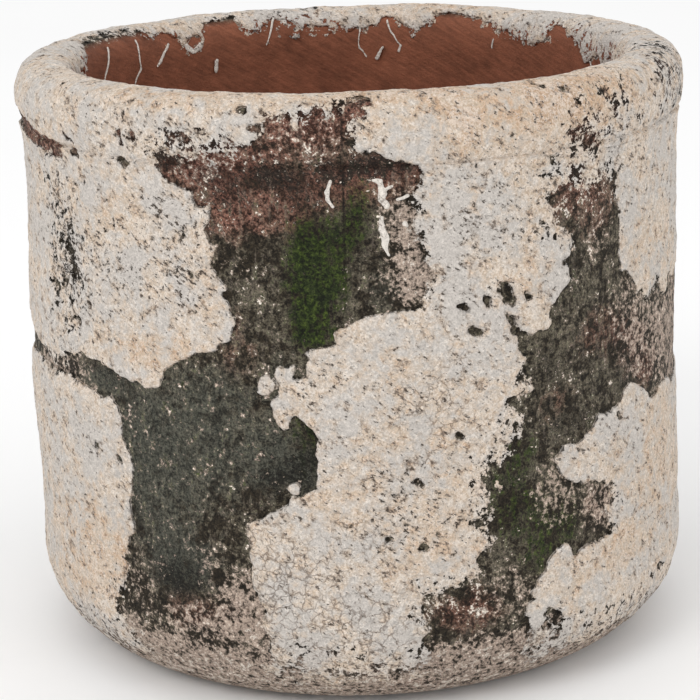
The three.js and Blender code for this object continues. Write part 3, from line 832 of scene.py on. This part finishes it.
def weathered(name):
    """Clay and lime in one recipe, so that each breaks into the other where they meet."""
    r = Recipe(name)
    coat, fray, pale = r.known("coat")
    moss, soot, red = r.known("stain")
    ochre, pitted, cracked = r.known("wear")
    dark_and_rim_shade, inside, seam = r.known("tone")

    broad = r.grain(15, 3, 0.6)
    patchy = r.grain(4.4, 5, 0.68, distortion=0.3)
    small = r.grain(1.5, 3, 0.7)
    fine = r.grain(0.6, 2, 0.7)
    slanted = r.grain(2, 3, 0.65, r.drawn_out((1, 1, 0.5), (0, 0.6, 0)))
    streaks = r.grain(1.7, 3, 0.65, r.drawn_out((1, 1, 5)))
    wandering = r.grain(5, 4, 0.62, r.drawn_out((1, 1, 1.3), (0.3, 0.2, 0)), 0.4)
    # Thin lines in the crevices: painted shade in them, and on the lime a rust stain along them as
    # well.
    crevice_shade_and_rust = (1 - wandering.math("ABSOLUTE").past(0.05, 0.07)) * (patchy * 0.8 + 0.4).clamped()

    # The coat's edge: crisp where it snapped, and broken into specks where it wore.
    edge = coat + fray * 5.5 * (patchy * 0.8 + small * 0.7) + small * 0.25
    lime = edge.past(0, 0.35)

    # Lime colour.
    warm = (broad * 0.6 + ochre * 0.8 + patchy * 0.6 + 0.35).clamped()
    lime_color = r.mix(warm, LIME_COOL, LIME_WARM)
    stain = (patchy * 0.9 + ochre * 1.1 + small * 0.5 + broad * 0.4 + crevice_shade_and_rust * 0.5).past(1.15, 0.9)
    lime_color = r.mix(stain * 0.6, lime_color, LIME_STAIN)
    smear = (slanted * 0.7 + patchy * 0.5 + small * 0.3 + pitted * 0.2).past(0.4, 0.5)
    lime_color = r.mix(smear * 0.45, lime_color, LIME_SMEAR)
    # Painted highlight: raised grains of lime made lighter. Drips, whose pale is 2, take this whiter
    # lime all over.
    raised_grain_highlight = (fine * 0.35 + small * 0.5 + broad * 0.5).past(0.35, 0.5)
    lime_color = r.mix((raised_grain_highlight * 0.5).most(pale - 1), lime_color, LIME_WHITE_AND_HIGHLIGHT)
    dirt = (slanted * 0.8 + patchy * 0.7 + pitted * 0.4 + fray * 0.25).past(1.0, 0.5)
    lime_color = r.mix(dirt * 0.6, lime_color, LIME_DIRT_AND_CREVICE_SHADE)
    pits = (slanted * 0.75 + small * 0.45 + fine * 0.45 + patchy * 0.3 + pitted * 0.45
            - pale * 0.3).past(1.08, 0.2)
    lime_color = r.mix(pits * 0.9, lime_color, LIME_PIT)
    wander = r.node("ShaderNodeTexNoise", inputs={
        "Vector": r.place, "Scale": 450.0, "Detail": 2.0}, output="Color")
    crazed = r.node("ShaderNodeVectorMath", {"operation": "MULTIPLY_ADD"}, {
        0: wander, 1: (0.0035, 0.0035, 0.0035), 2: r.place})
    crack_line = 1 - r.cells(3.6, "DISTANCE_TO_EDGE", crazed).past(0.045, 0.05)
    cracks = crack_line * (cracked * 1.3 + patchy * 0.9 - 0.1).clamped()
    # Cracks darkened with dirt, and the crevice lines darkened with painted shade.
    lime_color = r.mix((cracks * 0.65).most(crevice_shade_and_rust * 0.35), lime_color, LIME_DIRT_AND_CREVICE_SHADE)
    lime_color = r.shade(lime_color, (1 + fine * 0.13 + small * 0.1 + patchy * 0.07).most(0.3))

    # Clay colour.
    clay = r.mix((patchy * 0.8 + broad * 0.4 + small * 0.4 + 0.4).clamped(), CLAY_BROWN, CLAY_GREY)
    red_clay = r.mix((patchy * 0.8 + small * 0.6 + 0.52).clamped(), CLAY_RED, CLAY_PINK)
    clay = r.mix((red * 1.3 + patchy * 0.5 - 0.35).clamped(), clay, red_clay)
    clay = r.mix((soot * 1.3 + patchy * 0.6 - 0.25).clamped() * 0.85, clay, SOOT_GREEN)
    dust = (patchy * 0.6 + streaks * 0.7 - moss * 0.8 - soot * 0.25).past(0.5, 0.9)
    clay = r.mix(dust * 0.4, clay, DUST)
    mossy = r.mix((small * 0.6 + 0.2).clamped(), MOSS_DEEP, MOSS_BRIGHT)
    growth = (moss * 1.3 + patchy * 0.6 + small * 0.3 + streaks * 0.3).past(0.62, 0.7)
    clay = r.mix(growth * 0.95, clay, mossy)
    # Blackish spots on the clay, with painted shade in the crease under the rim.
    dark_spots_and_rim_shade = (dark_and_rim_shade * 1.2 + patchy * 0.7 + small * 0.7 + slanted * 0.4).past(0.85, 0.55)
    # The crevice lines are darkened with painted shade as well.
    clay = r.mix((dark_spots_and_rim_shade * 0.9).most(crevice_shade_and_rust * 0.6), clay, DEEP_SOOT_AND_SHADE)
    film = (pale * 1.6 + patchy * 0.6 + small * 0.7 + slanted * 0.3 - dark_and_rim_shade * 0.4 - moss * 0.8
            ).past(0.98, 0.75)
    clay = r.mix(film * 0.85, clay, FILM)
    flecks = (small * 0.7 + fine * 0.35 + patchy * 0.7 + fray * 0.7 - soot * 0.45 - moss * 0.8
              - dark_and_rim_shade * 0.35).past(1.2, 0.25)
    clay = r.mix(flecks * 0.85, clay, FLECK)
    grit = fine * 0.5 + small * 0.38 + streaks * 0.16 + patchy * 0.15
    clay = r.shade(clay, (grit * (1 - pale * 0.4) + 0.96).most(0.25))
    across_seam = r.node("ShaderNodeVectorMath", {"operation": "DOT_PRODUCT"}, {
        0: r.place, 1: (math.cos(math.radians(SEAM)), math.sin(math.radians(SEAM)), 0)},
        output="Value")
    parting = (1 - across_seam.math("ABSOLUTE").past(0.35 * MM, 0.5 * MM)) * seam
    clay = r.mix(parting * (0.5 + patchy * 0.5).clamped(), clay, DEEP_SOOT_AND_SHADE)

    # Bare clay inside, with the marks of the scraper.
    scrape = r.grain(0.9, 3, 0.6, r.drawn_out((9, 9, 1), (0, 0.55, 0)))
    bare = r.shade(CLAY_INSIDE, 1 + scrape * 0.16 + fine * 0.07 + patchy * 0.1 + broad * 0.14)
    clay = r.mix(inside.past(3.5, 3), clay, bare)

    color = r.mix(lime, clay, lime_color)
    height = (lime * (0.5 + small * 0.18 + fine * 0.12 - pits * 0.45 - cracks * 0.25)
              + (1 - lime) * (small * 0.34 + fine * 0.25 + patchy * 0.3 - crevice_shade_and_rust * 0.3)
              * (1 - inside * 0.1).most(0.25))
    return r.finish(color, 0.93 - (1 - lime) * 0.08, height, 0.55)


# ---- the clay -----------------------------------------------------------------------------------

def wall_half(name, node, start, material):
    """Half of foot and wall, with its lining, from one seam to the other."""
    bm = bmesh.new()
    top = NECK - HAIRLINE
    bore = FLOOR_RADIUS + HAIRLINE
    skin = with_run(wall_line(top=top), 0)
    inner_top = rim_skin()[-1][0]
    corner = rounded((FOOT_RADIUS, FOOT_RISE), FOOT_TURN - WALL_THICKNESS,
                     FOOT_RISE - FLOOR_TOP, CIRCLE, 0, -90, 8)
    shoulder = (WALL_RADIUS - WALL_TAPER - WALL_THICKNESS, top - 28)
    lining = with_run([(inner_top, top), shoulder, *corner, (bore, FLOOR_TOP)], INSIDE_RUN)
    under = (bore, 0, -8)            # the flat that it stands on has a run below 0
    outside = draw_line(bm, [under, *skin], CLAY_STEP)
    inside = draw_line(bm, lining, INSIDE_STEP)
    bm.edges.new((outside[-1], inside[0]))
    bm.edges.new((inside[-1], outside[0]))
    turn_line(bm, start, 180, CLAY_STEP)
    rims = [e for e in bm.edges if e.is_boundary]
    bmesh.ops.edgeloop_fill(bm, edges=rims)
    bmesh.ops.recalc_face_normals(bm, faces=bm.faces)
    points, angle, run = read(bm)
    values = shade_values(points, angle, run)
    radius = np.hypot(points[:, 0], points[:, 1])
    lip = np.clip((points[:, 2] - 2) / 6, 0, 1)
    outside = (run < NECK_RUN - 0.5) & (run > 0)
    groove = 0.45 * seam_groove(angle) * (points[:, 2] < NECK)
    relief = np.where(outside, clay_relief(points) * lip - groove,
                      0.12 * lumps(points, 18, 71) * lip)
    relief[(run >= NECK_RUN - 0.5) & (run <= INSIDE_RUN + 0.5)] = 0
    relief += crease_fill(run) * (run <= NECK_RUN)
    relief[radius < FLOOR_RADIUS + 1] = 0
    away = outward(points) * np.where(run > INSIDE_RUN, -1, 1)[:, None]
    place(bm, handmade(points + away * relief[:, None]))
    return piece(name, bm, [node], material, values)


def rim(material):
    """The coil rolled onto the neck."""
    bm = bmesh.new()
    roll = rim_skin()
    seat = NECK + HAIRLINE
    inner = (roll[-1][0], seat, INSIDE_RUN)
    outer = (roll[0][0], seat, NECK_RUN)
    draw_line(bm, [inner, outer, *roll[1:]], CLAY_STEP, closed=True)
    turn_line(bm, 0, 360, CLAY_STEP, merge=True)
    points, angle, run = read(bm)
    values = shade_values(points, angle, run)
    relief = clay_relief(points) * np.where(run > INSIDE_RUN - 24, 0.35, 1)
    relief -= 0.35 * seam_groove(angle) * (run < INSIDE_RUN - RIM_INSIDE)
    relief *= np.clip((points[:, 2] - seat) / 2, 0, 1)
    fill = outward(points) * crease_fill(run)[:, None] * (run < INSIDE_RUN)[:, None]
    place(bm, handmade(points + rim_outward(points) * relief[:, None] + fill))
    return piece("rim_roll_clay", bm, ["rim_roll"], material, values)


def floor_disc(material):
    """The slab luted into the foot, with its drain hole."""
    bm = bmesh.new()
    reach = FLOOR_RADIUS - HAIRLINE
    edge = 1.2
    line = [(DRAIN_RADIUS, edge), (DRAIN_RADIUS + edge, 0), (reach, 0), (reach, FLOOR_TOP),
            (DRAIN_RADIUS + edge, FLOOR_TOP), (DRAIN_RADIUS, FLOOR_TOP - edge)]
    deep_inside = INSIDE_RUN + 40    # a run at which all clay is bare
    line = [(radius, height, deep_inside) for radius, height in line]
    draw_line(bm, line, INSIDE_STEP, closed=True)
    turn_line(bm, 0, 360, INSIDE_STEP, merge=True)
    points, angle, run = read(bm)
    values = shade_values(points, angle, run)
    above = np.clip((points[:, 2] - FLOOR_TOP / 2) / 4, 0, 1)
    radius = np.hypot(points[:, 0], points[:, 1])
    luted = np.clip((reach - radius) / 10, 0, 1)
    moved = points.copy()
    moved[:, 2] += above * luted * 0.3 * rough(points, 16, 81)
    hole = np.exp(-((radius - DRAIN_RADIUS) / 3) ** 2)
    moved += outward(points) * (hole * 0.4 * lumps(points, 9, 82))[:, None]
    place(bm, handmade(moved))
    return piece("floor_disc_clay", bm, ["floor_disc"], material, values)


# ---- the lime -----------------------------------------------------------------------------------

def cut_to(bm, reach):
    """Cuts a skin along the line where reach is 0, and keeps the side where it is more."""
    bm.verts.index_update()
    layer = bm.verts.layers.float.new("reach")
    for vert, value in zip(bm.verts, reach):
        vert[layer] = value if abs(value) > 1e-4 else 1e-4
    fresh = []
    for edge in bm.edges[:]:
        a, b = edge.verts
        if (a[layer] > 0) != (b[layer] > 0):
            share = min(max(a[layer] / (a[layer] - b[layer]), 0.02), 0.98)
            _, vert = bmesh.utils.edge_split(edge, a, share)
            vert[layer] = 0
            fresh.append(vert)
    bmesh.ops.connect_verts(bm, verts=fresh)
    lost = [f for f in bm.faces if sum(v[layer] for v in f.verts) < 0]
    bmesh.ops.delete(bm, geom=lost, context="FACES")
    bmesh.ops.dissolve_degenerate(bm, edges=bm.edges, dist=0.02)
    open_pinches(bm)
    loose = [v for v in bm.verts if not v.link_faces]
    bmesh.ops.delete(bm, geom=loose, context="VERTS")
    return layer


def open_pinches(bm):
    """Clears the faces where two edges of a patch meet in one point, which could not be solid."""
    while pinches := [v for v in bm.verts if sum(e.is_boundary for e in v.link_edges) > 2]:
        around = dict.fromkeys(face for vert in pinches for face in vert.link_faces)
        bmesh.ops.delete(bm, geom=list(around), context="FACES")


def between(line, low, high):
    """The stretch of a line whose run lies between two values."""
    runs = [run for _, _, run in line]
    radius = [r for r, _, _ in line]
    height = [z for _, z, _ in line]
    kept = [low, *(run for run in runs if low < run < high), high]
    return [(np.interp(run, runs, radius), np.interp(run, runs, height), run) for run in kept]


def lime_lift(points, reach, fray, thickness):
    """How far lime stands above the clay: thin at its edge, and crusty further in."""
    ramp = np.clip(reach / (1 + 4 * fray), 0, 1)
    ramp = ramp * (2 - ramp)
    lift = thickness * (0.4 + 0.6 * ramp) * (1 - 0.6 * fray)
    lift += ramp * (0.26 * rough(points, 11, 91) + 0.15 * rough(points, 3, 92))
    return np.maximum(lift, THINNEST) + 0.5 * clay_relief(points)


def tucked_under(angle, run, hidden, bounds, lap):
    """1 where a patch runs on under its neighbour, falling to 0 where it shows."""
    a0, a1, low, _ = bounds
    past_crease = run - NECK_RUN if low < NECK_RUN - 5 else NECK_RUN - run
    past_end = np.abs(turn_from(angle, (a0 + a1) / 2)) - (a1 - a0) / 2 if lap else 0
    under = np.maximum(np.clip(hidden / 1.6, 0, 1), np.clip(past_crease / LAP, 0, 1))
    return np.maximum(under, np.clip(past_end * 1.2, 0, 1))


def lime_piece(name, bounds, reach_of, material, thickness=COAT, spacing=COAT_STEP, fresh=False,
               lap=0):
    """A patch of coat: a stretch of skin, cut to its ragged edge and given its thickness.

    Where patches meet, each runs on a little under the next, so that no joint shows. `lap` is how
    many degrees a stretch of the rim's coat runs on past its ends. `fresh` lime is a clean run of
    it, with no weather of its own.
    """
    a0, a1, low, high = bounds
    bm = bmesh.new()
    draw_line(bm, between(whole_skin(), low, high), spacing)
    turn_line(bm, a0 - lap, a1 - a0 + 2 * lap, spacing)
    points, angle, run = read(bm)
    layer = cut_to(bm, reach_of(points, angle, run))
    points, angle, run = read(bm)
    own = np.array([v[layer] for v in bm.verts])
    if fresh:
        reach = own
        coat, fray, pale = np.full(len(own), 3.0), np.zeros(len(own)), np.full(len(own), 2.0)
        values = shade_values(points, angle, run, coat)
        values["coat"] = coat, fray, pale
    else:
        reach = np.maximum(own, coat_reach(points, angle, run))
        values = shade_values(points, angle, run, reach)
        fray = values["coat"][1]
    lift = lime_lift(points, reach, fray, thickness)
    if not fresh:
        lift -= TUCK * tucked_under(angle, run, reach - own, bounds, lap)
    fill = outward(points) * (1.02 * crease_fill(run))[:, None]
    place(bm, handmade(points + skin_outward(points, run) * lift[:, None] + fill))
    bmesh.ops.recalc_face_normals(bm, faces=bm.faces)
    made = piece(name, bm, [], material, values)
    solid = made.modifiers.new("thickness", "SOLIDIFY")
    solid.thickness = (thickness + COAT_KEY) * MM
    solid.offset = -1
    return made


def outline_bounds(outline, margin=2.5):
    """The block of skin that an outline needs, in degrees and run."""
    angles, runs = zip(*outline)
    turn = math.degrees(margin / WALL_RADIUS)
    return min(angles) - turn, max(angles) + turn, min(runs) - margin, max(runs) + margin


def make_lime(material):
    """Every patch on the wall, stretch on the rim and run on the bare clay."""
    for name, outline in COATS.items():
        a0, a1, low, high = outline_bounds(outline)

        def reach_of(points, angle, run, outline=outline):
            return weather(inside_outline(angle, run, outline), points, angle, run)

        bounds = (a0, a1, max(low, COAT_LOW), min(high, NECK_RUN + LAP))
        thickness = THIN_COAT if name == "coat_far_right" else COAT
        made = lime_piece("lime_" + name.removeprefix("coat_"), bounds, reach_of, material,
                          thickness)
        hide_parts(name)
    for name, outline in RIM_COATS.items():
        a0, a1 = min(a for a, _ in outline), max(a for a, _ in outline)

        def reach_of(points, angle, run, outline=outline, ends=(a0, a1)):
            # A ragged edge would part one stretch from the next, so its ends lie further on.
            longer = [(a + 4 * ((a == ends[1]) - (a == ends[0])), r) for a, r in outline]
            return weather(inside_outline(angle, run, longer), points, angle, run)

        bounds = (a0, a1, NECK_RUN - LAP, COAT_HIGH)
        made = lime_piece(name.replace("coat", "lime"), bounds, reach_of, material, lap=0.8)
        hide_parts(name)
    for name, strokes in WALL_DRIPS.items():
        made = drip_piece(name.replace("drip", "lime_drip"), strokes, material)
        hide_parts(name)
    drip_piece("lime_drips_inside", INSIDE_DRIPS, material)


def drip_piece(name, strokes, material):
    """Runs of wet lime that dried where they were, rounded and a little wavy."""
    angles = [a for stroke in strokes for a, _, _ in stroke]
    runs = [r for stroke in strokes for _, r, _ in stroke]
    bounds = (min(angles) - 1.5, max(angles) + 1.5, min(runs) - 2, max(runs) + 2)

    def reach_of(points, angle, run):
        angle = angle + 0.5 * lumps(points, 4.5, 96)
        run = run + 0.7 * lumps(points, 4, 97)
        best = np.full(len(points), -9.0)
        for stroke in strokes:
            best = np.maximum(best, inside_stroke(angle, run, stroke))
        return best + 0.12 * lumps(points, 1.1, 95)

    return lime_piece(name, bounds, reach_of, material, DRIP, DRIP_STEP, fresh=True)


# ---- light, ground and camera -------------------------------------------------------------------

def ground():
    """Pale paper that the pot stands on, a hair below the foot."""
    bm = bmesh.new()
    bmesh.ops.create_grid(bm, x_segments=2, y_segments=2, size=40)
    mesh = bpy.data.meshes.new("studio_floor")
    bm.to_mesh(mesh)
    bm.free()
    recipe = Recipe("studio_paper")
    soft = recipe.grain(400, 1)
    surface = recipe.node("ShaderNodeBsdfPrincipled", inputs={
        "Base Color": recipe.shade((0.93, 0.93, 0.93), 1 + soft * 0.004), "Roughness": 1.0,
        "Specular IOR Level": 0.0})
    recipe.node("ShaderNodeOutputMaterial", inputs={"Surface": surface})
    mesh.materials.append(recipe.material)
    mesh.transform(Matrix.Translation((0, 0, -0.0003)))
    floor = bpy.data.objects.new("studio_floor", mesh)
    bpy.context.scene.collection.objects.link(floor)


def soft_box(name, place_at, size, power):
    light = bpy.data.lights.new(name, "AREA")
    light.shape = "DISK"
    light.size = size
    light.energy = power
    lamp = bpy.data.objects.new(name, light)
    lamp.location = place_at
    aim = Vector((0, 0, 0.09)) - Vector(place_at)
    lamp.rotation_euler = aim.to_track_quat("-Z", "Y").to_euler()
    bpy.context.scene.collection.objects.link(lamp)


def studio():
    world = bpy.data.worlds.new("studio")
    bpy.context.scene.world = world
    world.use_nodes = True
    world.node_tree.nodes["Background"].inputs["Color"].default_value = (1, 1, 1, 1)
    world.node_tree.nodes["Background"].inputs["Strength"].default_value = 1.0
    soft_box("key", (-0.8, -1.2, 1.2), 0.8, 7)
    soft_box("fill", (1.1, -1.0, 0.6), 1.2, 1.5)
    bpy.context.scene.view_settings.view_transform = "Standard"


def camera():
    data = bpy.data.cameras.new("camera")
    data.lens = 120.5
    data.shift_x = -0.0084
    data.shift_y = -0.0236
    made = bpy.data.objects.new("camera", data)
    look_down, roll = 0.2669, -0.0223
    turn = Matrix.Rotation(math.pi / 2 - look_down, 4, "X") @ Matrix.Rotation(roll, 4, "Z")
    made.matrix_world = Matrix.Translation((0, -0.742, 0.2945)) @ turn
    bpy.context.scene.collection.objects.link(made)
    bpy.context.scene.camera = made


studio()
camera()
ground()
weather_behind()
skin = weathered("weathered_skin")
wall_half("wall_right_clay", "wall_right_half", SEAM, skin)
wall_half("wall_left_clay", "wall_left_half", SEAM + 180, skin)
rim(skin)
floor_disc(skin)
make_lime(skin)
